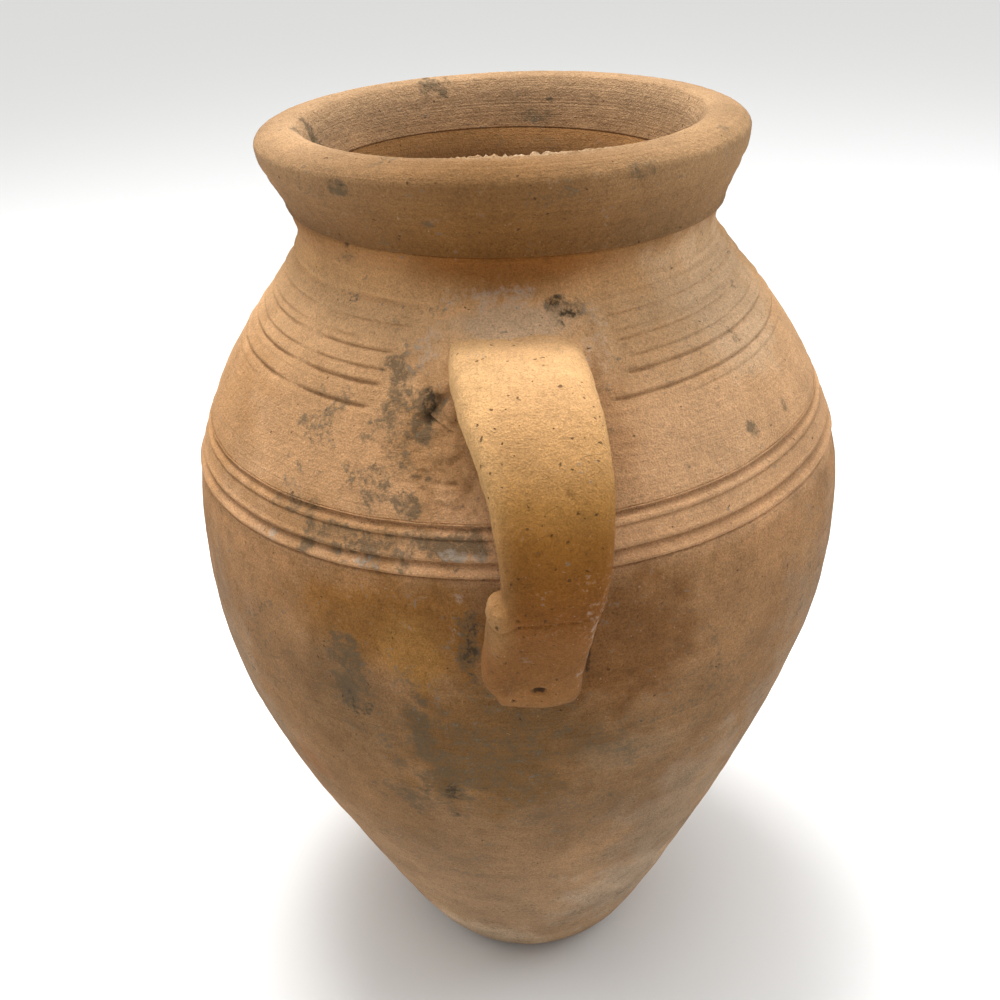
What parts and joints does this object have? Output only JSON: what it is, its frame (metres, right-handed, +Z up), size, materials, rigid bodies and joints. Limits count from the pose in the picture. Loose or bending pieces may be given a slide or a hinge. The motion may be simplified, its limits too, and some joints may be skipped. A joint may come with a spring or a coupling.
{
  "type": "two-handled terracotta jar",
  "caption": "Unglazed terracotta amphora: ovoid body on a small flat foot, heavy everted rim, grooved belly band and strap handles from shoulder to belly.",
  "frame": {"origin": "centre of the flat underside of the foot, on the jar's axis of turning", "axes": "+Z up along the axis of turning, one handle points to -Y and the other to +Y"},
  "size_m": [0.2598, 0.3214, 0.38],
  "materials": {
    "terracotta": "unglazed, matt, sandy orange-buff earthenware with wheel lines, dirt and salt bloom",
    "strap_clay": "unglazed, matt, paler yellow-buff earthenware, smoothed and finely pitted"
  },
  "bodies": {
    "root": {"lower_body": "terracotta", "upper_body": "terracotta", "belly_band": "terracotta", "collar": "terracotta", "front_handle": "strap_clay", "front_shoulder_pad": "terracotta", "front_belly_pad": "terracotta", "back_handle": "strap_clay", "back_shoulder_pad": "terracotta", "back_belly_pad": "terracotta"}
  },
  "joints": []
}
